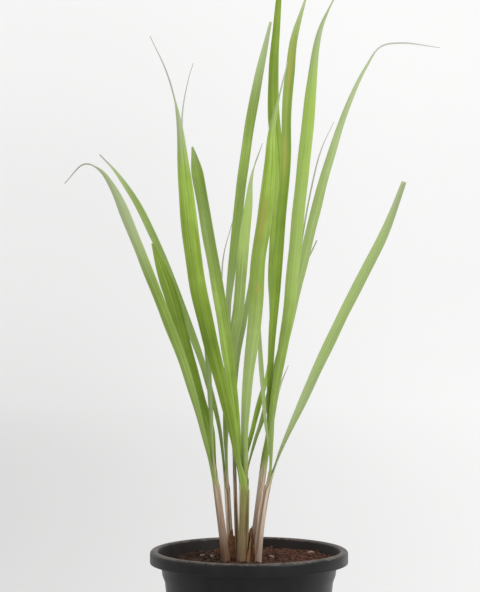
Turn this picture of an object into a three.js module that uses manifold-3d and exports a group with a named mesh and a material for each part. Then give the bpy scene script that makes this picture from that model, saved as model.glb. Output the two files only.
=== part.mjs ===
// Potted lemongrass: a clump of grass stalks with long blades, growing in the soil of a round nursery pot.
// Millimetres, +Z up. The origin is on the pot's axis, on the surface that the pot stands on.
// A stalk is made of nested leaf sheaths. Each leaf is one mesh: its sheath, and the blade above its collar.
import * as THREE from "three";
import { mergeVertices } from "three/addons/utils/BufferGeometryUtils.js";
import Module from "manifold-3d";

const wasm = await Module();
wasm.setup();

const { degToRad, lerp, smoothstep } = THREE.MathUtils;

// ---- Driving dimensions ----
const GAP = 0.35; // clearance between pieces that touch

const POT_HEIGHT = 185;
const RIM_RADIUS = 100; // outside of the lip
const BASE_RADIUS = 68; // outside of the foot ring
const WALL = 1.4; // moulded plastic
const FLOOR = 2;
const FLOOR_RISE = 2; // the floor around the middle stands this much above the ground
const FOOT_WIDTH = 7;
const BOSS_RADIUS = 20; // a round pad in the middle of the floor stands on the ground too
const LIP_DROP = 13; // height of the lip's skirt
const LIP_WIDTH = 8.6;
const LIP_CROWN = 3.4; // depth of the lip's rounded top
const LIP_ROOF = 5; // plastic above the channel under the lip
const LIP_FILLET = 2.5;
const NECK_RADIUS = 89; // outside of the wall just under the lip
const SHOULDER_RADIUS = 84.9; // outside of the wall just under the stacking shoulder
const SHOULDER_HEIGHT = 153;
const SHOULDER_STEP = 2.6; // the wall widens by this at the shoulder
const SHOULDER_RISE = 7; // over this height
const DRAIN_HOLES = 8;
const DRAIN_RADIUS = 5.5;
const DRAIN_CIRCLE = 42; // radius of the ring of holes
const POT_SIDES = 40;

const SOIL_LEVEL = 175; // mean height of the soil's surface
const SOIL_SAG = 1.5; // the surface without its mound is this much lower
const SOIL_SLOPE = [0.022, 0.008];
const MOUND = { x: -3, y: -4, height: 2.5, reach: 39 }; // round the stalks
const RIPPLES = { height: 0.9, x: 11, y: 9, phase: 0.6 };
const CROSS_RIPPLES = { height: 0.6, length: 6.5 };
const SOIL_RINGS = 8;
const SOIL_CHAMFER = 1.5; // at the bottom edge
const SOCKET_SIDES = 14; // of the hole that a stalk stands in

const ROOTED = 18; // a sheath starts this far below the soil's surface
const SHEATH_WALL = 0.55;
const LAYER_STEP = 0.9; // from one nested sheath's outside to the next one's
const BLADE_FOLD = degToRad(62); // how much a blade's section bends about its midrib
const BLADE_WALL = 0.6;
const BLADE_FOOT = 0.45; // a blade's width at its collar, as a share of its greatest
const BLADE_SPREAD = 0.45; // share of the blade's length over which it widens
const TAPER_POWER = 1.4; // above 1, a blade narrows faster towards its tip
const OPENING = 0.05; // share of the blade's length over which it leaves its sheath's width
const UNROLLING = 0.2; // and over which it leaves its sheath's curl
const SWELL = 0.18; // a stalk is this share wider at the soil than at its collars
const SWELL_HEIGHT = 40;
const STATION = 30; // spacing of a sheath's sections
const THREAD_WIDTH = 1.5; // of a blade's dried tip
const DEAD_WALL = 0.7;
const DEAD_ROOT = 6; // a dead sheath starts this far under the soil's surface
const DEAD_CLEAR = 0.4; // a dead sheath's inside stands off its stalk by this, besides the gap
const DEAD_FLARE = 1.2; // and leans out by this
const DEAD_FLARE_HEIGHT = 30;

const POT_BLACK = { color: 0x26272a, roughness: 0.55 };
const SOIL_BROWN = { color: 0x4a3428, roughness: 0.95 };
const BLADE_GREEN = { color: 0x7d9a3e, roughness: 0.5 };
const DEAD_BROWN = { color: 0x6b4a33, roughness: 0.85 };
const CHIP_TAN = { color: 0x9c7b62, roughness: 0.9 };

// ---- Stalks ----
// foot: where the stalk's axis leaves the soil [x, y]. top: where it is at reach above the soil. bow: how far
// the axis runs beside the straight line between them, half way up. radius: the outermost sheath's outside.
const STALKS = {
  a: { foot: [-23, -14], top: [-36.5, -20], reach: 107, bow: [0, 0], radius: 3.6 },
  b: { foot: [-18, -3], top: [-24, 3], reach: 105, bow: [0, 0], radius: 3 },
  c: { foot: [-12, 9], top: [-15, 17], reach: 105, bow: [0, 0], radius: 1.9 },
  d: { foot: [-6.5, -16], top: [-4, -19], reach: 105, bow: [0, 0], radius: 5.2 },
  e: { foot: [3, -6], top: [18, 0], reach: 120, bow: [0, 0], radius: 3.6 },
  f: { foot: [9, -16], top: [22, -22], reach: 92, bow: [-2, 0], radius: 3.1 },
  g: { foot: [-5, 13], top: [-4, 19], reach: 100, bow: [0, 0], radius: 3 },
};

// ---- Leaves ----
// layer: 0 is the stalk's outermost sheath. side: compass angle of the midrib about the stalk, 0 at +X and
// -90 in front. collar: height above the soil where the blade starts. route: points that the midrib passes.
// width: the blade's greatest. taper: shares of the blade's length where it starts to narrow, and where it is
// a dry thread. turn: the blade's twist about its midrib in degrees, and the shares where it starts and ends.
const LEAVES = [
  {
    name: "leaf_a1", stalk: "a", layer: 0, side: -150, collar: 84,
    width: 11.2, taper: [0.75, 0.915], turn: [40, 0, 0.25],
    route: [[-47, -26, 308], [-63, -35, 367], [-89, -46, 437], [-112, -56, 496], [-132, -65, 544],
      [-146, -69, 564], [-160, -71, 569], [-179, -74, 550]],
  },
  {
    name: "leaf_a2", stalk: "a", layer: 1, side: 100, collar: 94,
    width: 16.5, taper: [0.8, 1.03], turn: [10, 0, 0.3],
    route: [[-40, -4, 306], [-51, 4, 336], [-63, 12, 376], [-79, 22, 437], [-99, 30, 495]],
  },
  {
    name: "leaf_a3", stalk: "a", layer: 2, side: -80, collar: 104,
    width: 8, taper: [0.5, 0.82], turn: [0, 0, 0.3],
    route: [[-38, -21, 322], [-43, -23, 407], [-50, -24, 457], [-61, -22, 552], [-67, -18, 617],
      [-61, -12, 658], [-56, -10, 675]],
  },
  {
    name: "leaf_b1", stalk: "b", layer: 0, side: 145, collar: 80,
    width: 8.4, taper: [0.8, 1], turn: [-30, 0, 0.25],
    route: [[-30, 7, 305], [-45, 16, 363], [-68, 31, 427], [-93, 46, 489], [-119, 58, 541],
      [-141, 64, 573], [-156, 66, 589]],
  },
  {
    name: "leaf_b2", stalk: "b", layer: 1, side: -30, collar: 92,
    width: 13.5, taper: [0.7, 0.94], turn: [-30, 0, 0.25],
    route: [[-22, -3, 326], [-17, 6, 386], [-10, 12, 427], [-6, 18, 478], [0, 24, 534], [4, 28, 568],
      [14, 31, 598]],
  },
  {
    name: "leaf_b3", stalk: "b", layer: 2, side: 40, collar: 100,
    width: 10.4, taper: [0.82, 1.04], turn: [51, 0.3, 0.65],
    route: [[-24, 7, 318], [-22, 12, 376], [-19.7, 18, 437], [-13.7, 27, 498], [-7, 37, 561],
      [2, 48, 624], [12, 58, 677], [23, 66, 728]],
  },
  {
    name: "leaf_c1", stalk: "c", layer: 0, side: 95, collar: 88,
    width: 8, taper: [0.4, 1], turn: [40, 0, 0.3],
    route: [[-16, 28, 324], [-12, 46, 380], [-5, 58, 416], [-1, 66, 440], [6, 80, 479], [21, 112, 571]],
  },
  {
    name: "leaf_c2", stalk: "c", layer: 1, side: 120, collar: 100,
    width: 4.5, taper: [0.3, 0.75], turn: [0, 0, 0.3],
    route: [[-18, 24, 319], [-23, 38, 385], [-28, 50, 452], [-26, 55, 484], [-17, 60, 518]],
  },
  {
    name: "leaf_d1", stalk: "d", layer: 0, side: -135, collar: 78,
    width: 17.3, taper: [0.6, 0.87], turn: [35, 0, 0.25],
    route: [[-15, -30, 293], [-24, -39, 338], [-39, -51, 398], [-51, -63, 453], [-59, -75, 515],
      [-64, -85, 569], [-68, -91, 610], [-72, -94, 631], [-80, -97, 657], [-95, -100, 689]],
  },
  {
    name: "leaf_d2", stalk: "d", layer: 1, side: 150, collar: 90,
    width: 13.5, taper: [0.91, 1.01], turn: [-40, 0, 0.25],
    route: [[-13, -12, 317], [-21, -9, 377], [-30, -2, 437], [-41, 8, 498], [-50, 19, 549],
      [-58, 28, 594]],
  },
  {
    name: "leaf_d3", stalk: "d", layer: 2, side: -90, collar: 98,
    width: 15.5, taper: [0.65, 0.94], turn: [15, 0, 0.3],
    route: [[-4, -33, 318], [0, -43, 368], [6, -57, 418], [9, -71, 474], [16, -82, 522], [20, -91, 567],
      [22, -98, 601], [36, -110, 663]],
  },
  {
    name: "leaf_d4", stalk: "d", layer: 3, side: 55, collar: 104,
    width: 9, taper: [0.5, 1], turn: [0, 0, 0.3],
    route: [[-1, 14, 345], [3, 50, 395], [9, 90, 447], [15, 130, 502], [24, 178, 586]],
  },
  {
    name: "leaf_e1", stalk: "e", layer: 0, side: -90, collar: 98,
    width: 13.2, taper: [0.72, 1], turn: [-15, 0, 0.3],
    route: [[22, -14, 317], [28, -23, 359], [37.5, -35, 417], [43.5, -46, 476], [49, -55, 535],
      [55, -63, 593], [60, -70, 644], [64, -74, 679], [70, -77, 703], [83, -79, 731]],
  },
  {
    name: "leaf_e2", stalk: "e", layer: 1, side: 80, collar: 106,
    width: 4.5, taper: [0.3, 0.8], turn: [0, 0, 0.3],
    route: [[21, 12, 320], [29, 18, 355], [39, 27, 406], [54, 43, 494], [65, 58, 552], [76, 72, 594],
      [90, 82, 625]],
  },
  {
    name: "leaf_e3", stalk: "e", layer: 2, side: -50, collar: 112,
    width: 10.9, taper: [0.5, 0.9], turn: [-25, 0, 0.25],
    route: [[28, -4, 348], [42, 8, 417], [59, 20, 489], [76, 32, 556], [90, 39, 602], [105, 45, 644],
      [122, 49, 679], [137, 51, 700], [159, 52, 704], [199, 52, 699]],
  },
  {
    name: "leaf_e4", stalk: "e", layer: 3, side: 110, collar: 118,
    width: 11, taper: [0.8, 1], turn: [0, 0, 0.3],
    route: [[20, 3, 336], [22.5, 4, 391], [27, 6, 447], [32, 12, 518], [37.5, 18, 580], [38, 24, 626],
      [42, 29, 673], [46, 32, 704], [62, 38, 759]],
  },
  {
    name: "leaf_f1", stalk: "f", layer: 0, side: 10, collar: 84,
    width: 11.4, taper: [0.73, 1.14], turn: [55, 0, 0.25],
    route: [[31, -23, 284], [50, -26, 328], [77, -33, 388], [106, -40, 448], [128.3, -46, 492],
      [141, -49, 522], [152, -52, 553]],
  },
  {
    name: "leaf_f2", stalk: "f", layer: 1, side: -100, collar: 88,
    width: 5.5, taper: [0.2, 0.85], turn: [0, 0, 0.3],
    route: [[22, -27, 298], [24, -30, 323], [28, -31, 340], [32, -31, 355], [39, -31, 372]],
  },
  {
    name: "leaf_f3", stalk: "f", layer: 2, side: 150, collar: 92,
    width: 6, taper: [0.45, 1], turn: [-20, 0, 0.3],
    route: [[19, -20, 292], [15, -19, 325], [12, -16, 367], [9, -16, 417], [8, -17, 457],
      [11, -19, 502]],
  },
  {
    name: "leaf_g1", stalk: "g", layer: 0, side: 20, collar: 84,
    width: 8, taper: [0.5, 1], turn: [40, 0, 0.25],
    route: [[7, 20, 294], [13, 24, 311], [24, 28, 350], [43, 42, 421], [56, 50, 466], [71, 56, 499]],
  },
  {
    name: "leaf_g2", stalk: "g", layer: 1, side: 110, collar: 96,
    width: 13.4, taper: [0.65, 1.06], turn: [150, 0, 0.5],
    route: [[3, 26, 304], [11, 34, 334], [19, 43, 364], [22, 54, 406], [24, 66, 453], [29.5, 84, 527],
      [31, 98, 581], [27, 110, 635], [27, 120, 685], [37, 138, 809]],
  },
];
// A sheath narrows towards its collar: how far below the collar, how far round, points across the section.
const NECK = [
  { below: 10, wrap: 320, points: 9 },
  { below: 5, wrap: 240, points: 7 },
  { below: 0, wrap: 160, points: 5 },
];
// Shares of a blade's length where it has a section, and points across it.
const BLADE = [
  ...[0.03, 0.08].map((share) => ({ share, points: 5 })),
  ...[0.16, 0.27, 0.39, 0.51, 0.63, 0.74, 0.84, 0.91, 0.96, 1].map((share) => ({ share, points: 3 })),
];

// ---- Dead sheaths and chips ----
// A dead sheath is a curled scale at a stalk's foot: height above the soil, and how far round it reaches.
const DEAD_SHEATHS = [
  { name: "dead_sheath_1", stalk: "d", side: 10, height: 30, reach: 140 },
  { name: "dead_sheath_2", stalk: "e", side: 215, height: 32, reach: 170 },
  { name: "dead_sheath_3", stalk: "b", side: -70, height: 30, reach: 150 },
];
// Shares of a dead sheath's height where it has a section, and its reach there as a share of its greatest.
const DEAD_TAPER = [
  [0, 1],
  [0.5, 0.8],
  [1, 0.25],
];

// Chips of bark and grit on the soil: place, size and turn.
const CHIPS = [
  { name: "chip_1", at: [64, 34], size: [7, 5, 3], turn: 10 },
  { name: "chip_2", at: [-37, 14], size: [5, 4, 3], turn: 70 },
  { name: "chip_3", at: [23, 4], size: [5, 4, 3], turn: -30 },
  { name: "chip_4", at: [-48, 34], size: [5, 4, 3], turn: 110 },
];

// ---- Helpers ----
function solidOf(geometry) {
  const plain = new THREE.BufferGeometry();
  plain.setAttribute("position", geometry.getAttribute("position").clone());
  if (geometry.index) plain.setIndex(geometry.index.clone());
  const merged = mergeVertices(plain, 1e-3);
  return new wasm.Manifold(
    new wasm.Mesh({
      numProp: 3,
      vertProperties: merged.attributes.position.array,
      triVerts: new Uint32Array(merged.index.array),
    }),
  );
}

function geometryOf(solid) {
  const mesh = solid.getMesh();
  return new THREE.BufferGeometry()
    .setAttribute("position", new THREE.BufferAttribute(mesh.vertProperties, 3))
    .setIndex(new THREE.BufferAttribute(mesh.triVerts, 1));
}

function named(name, geometry, finish) {
  geometry.computeVertexNormals();
  const mesh = new THREE.Mesh(geometry, new THREE.MeshStandardMaterial({ ...finish, metalness: 0 }));
  mesh.name = name;
  return mesh;
}

// A closed skin over rings of points, which may have different numbers of points. A ring is { outer, inner },
// two rows of points from one margin to the other.
function skin(rings) {
  const points = [];
  const faces = [];
  const index = rings.map(({ outer, inner }) =>
    [outer, inner].map((row) => row.map((p) => points.push(p.x, p.y, p.z) / 3 - 1)),
  );
  // Triangles between row a and row b, taking the row that lags behind at each step.
  const zip = (a, b, flip) => {
    let i = 0;
    let j = 0;
    while (i < a.length - 1 || j < b.length - 1) {
      const stepA = j === b.length - 1 || (i + 1) / (a.length - 1) <= (j + 0.999) / (b.length - 1);
      const third = i < a.length - 1 && stepA ? a[i + 1] : b[j + 1];
      faces.push(...(flip ? [a[i], third, b[j]] : [a[i], b[j], third]));
      if (third === a[i + 1] && i < a.length - 1 && stepA) i += 1;
      else j += 1;
    }
  };
  for (let k = 0; k + 1 < index.length; k += 1) {
    const [outerA, innerA] = index[k];
    const [outerB, innerB] = index[k + 1];
    zip(outerA, outerB, false);
    zip(innerA, innerB, true);
    zip([outerA[0], innerA[0]], [outerB[0], innerB[0]], true);
    zip([outerA.at(-1), innerA.at(-1)], [outerB.at(-1), innerB.at(-1)], false);
  }
  zip(index[0][0], index[0][1], true);
  zip(index.at(-1)[0], index.at(-1)[1], false);
  return new THREE.BufferGeometry()
    .setAttribute("position", new THREE.Float32BufferAttribute(points, 3))
    .setIndex(faces);
}

// ---- Pot ----
const skirtHeight = POT_HEIGHT - LIP_DROP;
const floorTop = FLOOR_RISE + FLOOR;
const shoulderTop = SHOULDER_HEIGHT + SHOULDER_RISE;
const shoulderTopRadius = SHOULDER_RADIUS + SHOULDER_STEP;

function innerRadius(z) {
  const outside =
    z <= SHOULDER_HEIGHT
      ? lerp(BASE_RADIUS, SHOULDER_RADIUS, z / SHOULDER_HEIGHT)
      : lerp(shoulderTopRadius, NECK_RADIUS, (z - shoulderTop) / (skirtHeight - shoulderTop));
  return outside - WALL;
}

// The profile runs out under the floor, up the outside, over the lip and down the inside.
function potProfile() {
  const footRing = BASE_RADIUS - FOOT_WIDTH;
  const crown = [0, 45, 90, 135, 180].map(degToRad).map((angle) => [
    RIM_RADIUS - (LIP_WIDTH / 2) * (1 - Math.cos(angle)),
    POT_HEIGHT - LIP_CROWN * (1 - Math.sin(angle)),
  ]);
  return [
    [0, 0],
    [BOSS_RADIUS, 0],
    [BOSS_RADIUS + 1, FLOOR_RISE],
    [footRing - 1, FLOOR_RISE],
    [footRing, 0],
    [BASE_RADIUS - 1, 0],
    [BASE_RADIUS, 1],
    [SHOULDER_RADIUS, SHOULDER_HEIGHT],
    [shoulderTopRadius, shoulderTop],
    [NECK_RADIUS, skirtHeight],
    [NECK_RADIUS + LIP_FILLET, POT_HEIGHT - LIP_ROOF - LIP_FILLET],
    [RIM_RADIUS - WALL, POT_HEIGHT - LIP_ROOF],
    [RIM_RADIUS - WALL, skirtHeight],
    [RIM_RADIUS, skirtHeight],
    ...crown,
    [NECK_RADIUS - WALL, skirtHeight],
    [shoulderTopRadius - WALL, shoulderTop],
    [SHOULDER_RADIUS - WALL, SHOULDER_HEIGHT],
    [innerRadius(floorTop + 1), floorTop + 1],
    [innerRadius(floorTop) - 1, floorTop],
    [0, floorTop],
  ].map(([radius, z]) => new THREE.Vector2(radius, z));
}

function buildPot() {
  const turned = new THREE.LatheGeometry(potProfile(), POT_SIDES).rotateX(Math.PI / 2);
  let pot = solidOf(turned);
  for (let i = 0; i < DRAIN_HOLES; i += 1) {
    const angle = (2 * Math.PI * (i + 0.5)) / DRAIN_HOLES;
    const drill = new THREE.CylinderGeometry(DRAIN_RADIUS, DRAIN_RADIUS, 5 * FLOOR, 12).rotateX(Math.PI / 2);
    drill.translate(DRAIN_CIRCLE * Math.cos(angle), DRAIN_CIRCLE * Math.sin(angle), FLOOR);
    pot = pot.subtract(solidOf(drill));
  }
  return named("pot", geometryOf(pot), POT_BLACK);
}

// ---- Stalks ----
function stalkAxis(stalk, height) {
  const share = height / stalk.reach;
  const bulge = 4 * share * (1 - share);
  const along = (i) => lerp(stalk.foot[i], stalk.top[i], share) + stalk.bow[i] * bulge;
  return new THREE.Vector3(along(0), along(1), SOIL_LEVEL + height);
}

function stalkDirection(stalk, height) {
  return stalkAxis(stalk, height + 1).sub(stalkAxis(stalk, height - 1)).normalize();
}

function swell(height) {
  return 1 + SWELL * Math.exp(-Math.max(height, 0) / SWELL_HEIGHT);
}

// Unit vector square to the stalk that points from its axis to the compass angle side.
function outward(side, direction) {
  const out = new THREE.Vector3(Math.cos(degToRad(side)), Math.sin(degToRad(side)), 0);
  return out.addScaledVector(direction, -out.dot(direction)).normalize();
}

// One section of a leaf: a strip of the given width and thickness, bent to radius about a line beside the
// midrib. inward points from the midrib to that line, across to the margin on the left.
function section(midrib, inward, across, radius, width, thickness, count) {
  const centre = midrib.clone().addScaledVector(inward, radius);
  const row = (distance) =>
    Array.from({ length: count }, (_, i) => {
      const angle = ((2 * i) / (count - 1) - 1) * (width / radius / 2);
      return centre
        .clone()
        .addScaledVector(inward, -distance * Math.cos(angle))
        .addScaledVector(across, distance * Math.sin(angle));
    });
  return { outer: row(radius + thickness / 2), inner: row(radius - thickness / 2) };
}

// ---- Leaves ----
function bladeWidth(leaf, share) {
  const [start, end] = leaf.taper;
  const neck = lerp(BLADE_FOOT, 1, smoothstep(share, 0, BLADE_SPREAD));
  const narrowing = share < end ? 1 - Math.max(0, (share - start) / (end - start)) ** TAPER_POWER : 0;
  return Math.max(THREAD_WIDTH, leaf.width * neck * narrowing);
}

function leafRings(leaf) {
  const stalk = STALKS[leaf.stalk];
  const outside = stalk.radius - leaf.layer * LAYER_STEP;
  const [open] = NECK;
  const levels = [{ height: -ROOTED, ...open }];
  for (let height = 0; height < leaf.collar - open.below - STATION / 3; height += STATION) {
    levels.push({ height, ...open });
  }
  levels.push(...NECK.map((neck) => ({ height: leaf.collar - neck.below, ...neck })));
  let inward;
  let midrib;
  let direction;
  let radius;
  const rings = levels.map(({ height, wrap, points }) => {
    direction = stalkDirection(stalk, height);
    inward = outward(leaf.side, direction).negate();
    radius = outside * swell(height) - SHEATH_WALL / 2;
    midrib = stalkAxis(stalk, height).addScaledVector(inward, -radius);
    const across = direction.clone().cross(inward);
    return section(midrib, inward, across, radius, degToRad(wrap) * radius, SHEATH_WALL, points);
  });
  const before = midrib.clone().addScaledVector(direction, -STATION);
  const route = leaf.route.map((p) => new THREE.Vector3(...p));
  const curve = new THREE.CatmullRomCurve3([before, midrib, ...route]);
  const collarShare = STATION / curve.getLength();
  const collarRadius = radius;
  const collarWidth = degToRad(NECK.at(-1).wrap) * radius;
  for (const { share, points } of BLADE) {
    const at = lerp(collarShare, 1, share);
    const along = curve.getTangentAt(at);
    // The section's frame is carried along the midrib without turning, then the blade's own twist is added.
    inward.addScaledVector(along, -inward.dot(along)).normalize();
    const [twist, ...turning] = leaf.turn;
    const facing = inward.clone().applyAxisAngle(along, degToRad(twist) * smoothstep(share, ...turning));
    const width = lerp(collarWidth, bladeWidth(leaf, share), smoothstep(share, 0, OPENING));
    const bend = lerp(collarRadius, Math.max(width / BLADE_FOLD, 1), smoothstep(share, 0, UNROLLING));
    const fitted = Math.min(width, degToRad(open.wrap) * bend);
    const across = along.clone().cross(facing);
    rings.push(section(curve.getPointAt(at), facing, across, bend, fitted, BLADE_WALL, points));
  }
  return rings;
}

function buildLeaf(leaf) {
  return named(leaf.name, skin(leafRings(leaf)), BLADE_GREEN);
}

function buildDeadSheath(scale) {
  const stalk = STALKS[scale.stalk];
  const standing = DEAD_TAPER.map(([share, narrowing]) => [scale.height * share, narrowing]);
  const rings = [[-DEAD_ROOT, 1], ...standing].map(([height, narrowing]) => {
    const direction = stalkDirection(stalk, height);
    const inward = outward(scale.side, direction).negate();
    const flare = DEAD_FLARE * smoothstep(height, 0, DEAD_FLARE_HEIGHT);
    const radius = stalk.radius * swell(height) + GAP + DEAD_CLEAR + DEAD_WALL / 2 + flare;
    const width = radius * degToRad(scale.reach) * narrowing;
    const midrib = stalkAxis(stalk, height).addScaledVector(inward, -radius);
    return section(midrib, inward, direction.clone().cross(inward), radius, width, DEAD_WALL, 5);
  });
  return named(scale.name, skin(rings), DEAD_BROWN);
}

// ---- Soil ----
// Low ripples with a slight mound round the stalks, a little higher on the right at the back.
function soilHeight(x, y) {
  const mound = MOUND.height * Math.exp(-((x - MOUND.x) ** 2 + (y - MOUND.y) ** 2) / MOUND.reach ** 2);
  const ripples = RIPPLES.height * Math.sin(x / RIPPLES.x + RIPPLES.phase) * Math.cos(y / RIPPLES.y);
  const crossing = CROSS_RIPPLES.height * Math.sin((x + y) / CROSS_RIPPLES.length);
  return SOIL_LEVEL - SOIL_SAG + mound + ripples + crossing + SOIL_SLOPE[0] * x + SOIL_SLOPE[1] * y;
}

function buildSoil() {
  const bottom = floorTop + GAP;
  const ringRadii = Array.from({ length: SOIL_RINGS }, (_, i) => (i + 1) / SOIL_RINGS);
  const points = [0, 0, soilHeight(0, 0)];
  const faces = [];
  const ring = (radius, height) => {
    const first = points.length / 3;
    for (let i = 0; i < POT_SIDES; i += 1) {
      const angle = (2 * Math.PI * i) / POT_SIDES;
      const x = radius * Math.sin(angle);
      const y = -radius * Math.cos(angle);
      points.push(x, y, height ?? soilHeight(x, y));
    }
    return first;
  };
  const fan = (centre, first, down) => {
    for (let i = 0; i < POT_SIDES; i += 1) {
      const pair = [first + i, first + ((i + 1) % POT_SIDES)];
      faces.push(centre, ...(down ? pair.reverse() : pair));
    }
  };
  const band = (above, below) => {
    for (let i = 0; i < POT_SIDES; i += 1) {
      const j = (i + 1) % POT_SIDES;
      faces.push(above + i, below + i, below + j, above + i, below + j, above + j);
    }
  };
  const surfaceRadius = innerRadius(SOIL_LEVEL - 10) - GAP;
  let last = ring(surfaceRadius * ringRadii[0]);
  fan(0, last, false);
  for (const share of ringRadii.slice(1)) {
    const next = ring(surfaceRadius * share);
    band(last, next);
    last = next;
  }
  const levels = [shoulderTop, SHOULDER_HEIGHT, bottom + SOIL_CHAMFER];
  for (const level of levels) {
    const next = ring(innerRadius(level) - GAP, level);
    band(last, next);
    last = next;
  }
  const low = ring(innerRadius(bottom) - SOIL_CHAMFER - GAP, bottom);
  band(last, low);
  points.push(0, 0, bottom);
  fan(points.length / 3 - 1, low, true);
  const body = new THREE.BufferGeometry()
    .setAttribute("position", new THREE.Float32BufferAttribute(points, 3))
    .setIndex(faces);
  let soil = solidOf(body);
  for (const [key, stalk] of Object.entries(STALKS)) soil = soil.subtract(socket(stalk, deadReach(key)));
  return named("soil", geometryOf(soil), SOIL_BROWN);
}

// How far a dead sheath stands out from the stalk where it enters the soil.
function deadReach(key) {
  return DEAD_SHEATHS.some((scale) => scale.stalk === key) ? GAP + DEAD_CLEAR + DEAD_WALL : 0;
}

// The hole that a stalk stands in, as a solid: round sections along the stalk's axis.
function socket(stalk, extra) {
  const rings = [-ROOTED - GAP, 0, STATION / 2].map((height) => {
    const direction = stalkDirection(stalk, height);
    const inward = outward(0, direction).negate();
    const radius = (stalk.radius * swell(height) + extra + GAP) / Math.cos(Math.PI / SOCKET_SIDES);
    const centre = stalkAxis(stalk, height);
    const across = direction.clone().cross(inward);
    const point = (i) => {
      const angle = (2 * Math.PI * i) / SOCKET_SIDES;
      return centre
        .clone()
        .addScaledVector(inward, -radius * Math.cos(angle))
        .addScaledVector(across, radius * Math.sin(angle));
    };
    const half = SOCKET_SIDES / 2;
    return {
      outer: Array.from({ length: half + 1 }, (_, i) => point(i - half / 2)),
      inner: Array.from({ length: half + 1 }, (_, i) => point(SOCKET_SIDES - half / 2 - i)),
    };
  });
  return solidOf(skin(rings));
}

function buildChip(chip) {
  const [length, depth, height] = chip.size;
  const geometry = new THREE.DodecahedronGeometry(0.5, 0).scale(length, depth, height);
  geometry.rotateZ(degToRad(chip.turn));
  const [x, y] = chip.at;
  const rest = Math.max(...[-3, 0, 3].flatMap((dx) => [-3, 0, 3].map((dy) => soilHeight(x + dx, y + dy))));
  geometry.translate(x, y, rest + height / 2 + GAP);
  return named(chip.name, geometryOf(solidOf(geometry)), CHIP_TAN);
}

const plant = new THREE.Group();
plant.add(buildPot(), buildSoil());
for (const leaf of LEAVES) plant.add(buildLeaf(leaf));
for (const scale of DEAD_SHEATHS) plant.add(buildDeadSheath(scale));
for (const chip of CHIPS) plant.add(buildChip(chip));

export default plant;
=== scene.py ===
import bisect
import math
import random
from collections import namedtuple

import bmesh
import bpy
from mathutils import Euler, Matrix, Vector, noise


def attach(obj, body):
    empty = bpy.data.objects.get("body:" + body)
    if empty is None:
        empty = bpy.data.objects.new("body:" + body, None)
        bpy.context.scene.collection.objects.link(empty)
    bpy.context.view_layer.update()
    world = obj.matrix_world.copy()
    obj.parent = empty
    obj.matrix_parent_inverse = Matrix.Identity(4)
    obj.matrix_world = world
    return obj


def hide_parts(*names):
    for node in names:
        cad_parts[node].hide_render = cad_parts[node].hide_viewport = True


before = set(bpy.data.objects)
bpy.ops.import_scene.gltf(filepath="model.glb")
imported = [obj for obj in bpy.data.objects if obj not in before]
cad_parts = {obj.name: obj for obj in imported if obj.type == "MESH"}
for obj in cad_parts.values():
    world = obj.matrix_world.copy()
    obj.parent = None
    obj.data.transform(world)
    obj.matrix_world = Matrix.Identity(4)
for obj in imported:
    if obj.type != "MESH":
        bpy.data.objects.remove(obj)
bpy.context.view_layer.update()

# ---- Camera and light ----
CAMERA_PLACE = (-.0091, -1.795, .441)
LENS = 108.06  # millimetres
SENSOR = 36  # millimetres
STUDIO_WHITE = (.93, .93, .925, 1)
LAMP_TARGET = (0, 0, .3)
# Name, place, size across, watts.
LAMPS = [
    ("key light", (1.4, -1.1, 1.5), 1.2, 20),
    ("fill light", (-1.7, -1, .9), 1.4, 4),
]
FLOOR_BASE = (.4, .4, .4, 1)
# Painted light: the floor's and the wall's glow, on the left and on the right. It is darker on the left,
# most of all near the pot, for the key light from the right.
FLOOR_NEAR = ((.17, .17, .169, 1), (.52, .52, .518, 1))
FLOOR_FAR = ((.44, .44, .438, 1), (.53, .53, .528, 1))
STUDIO_WALL = ((.55, .55, .548, 1), (.59, .59, .588, 1))
GLOW_SIDES = 1.1  # the left glow blends into the right one this far each way
GLOW_NEAR = .5  # the floor has its near glow inside this radius
GLOW_FAR = 7.4  # and its far glow outside this
WALL_RISE = (.3, 2.6)  # the floor's glow becomes the wall's between these heights
# Radius and height of the sweep: a flat floor that rises into a wall far behind every side.
SWEEP = [(0, 0), (5.5, 0), (6.5, .12), (7.4, .5), (8.1, 1.15), (8.6, 2), (8.9, 3.2), (9, 7)]
SWEEP_STEPS = 96

# ---- Pot ----
POT_HEIGHT = .185
RIM_RADIUS = .1
LIP_WIDTH = .0086
LIP_CROWN = .0034  # depth of the lip's rounded top
LIP_DROP = .013  # height of the lip's skirt
LIP_ROOF = .005  # plastic above the channel under the lip
LIP_FILLET = .0025
LIP_STEPS = 12
NECK_RADIUS = .089  # outside of the wall just under the lip
SHOULDER_RADIUS = .0849
SHOULDER_HEIGHT = .153
SHOULDER_STEP = .0026  # the wall widens by this at the shoulder
SHOULDER_RISE = .007  # over this height
SHOULDER_TOP = SHOULDER_HEIGHT + SHOULDER_RISE
BASE_RADIUS = .068
POT_WALL = .0014
POT_FLOOR = .002
FLOOR_RISE = .002  # the floor stands this much above the ground inside the foot ring
FOOT_WIDTH = .007
FOOT_STEP = .001  # the wall goes in this far past the foot ring, to meet the plate
PLATE_GAP = .0001  # the plate lies this far inside the wall's floor
PLATE_RADIUS = BASE_RADIUS - FOOT_WIDTH - 4 * PLATE_GAP
PLATE_STEPS = 96
BOSS_RADIUS = .02
BOSS_SLANT = .001
BOSS_HEIGHT = .003
BOSS_STEPS = 64
DRAIN_HOLES = 8
DRAIN_RADIUS = .0055
DRAIN_CIRCLE = .042
DRAIN_STEPS = 32
POT_STEPS = 192
EDGE_ROUND = .0006
SHARP_EDGE = math.radians(28)  # edges that turn by more are rounded
MERGED = 1e-6  # points nearer than this are one

POT_BLACK = (.0035, .0035, .004, 1)
POT_SMEAR = (.009, .009, .0095, 1)
POT_INSIDE = (.011, .0065, .005, 1)
# Dust, and on the lip's crown also a painted highlight.
POT_DUST_AND_SHEEN = (.2, .165, .14, 1)

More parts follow.
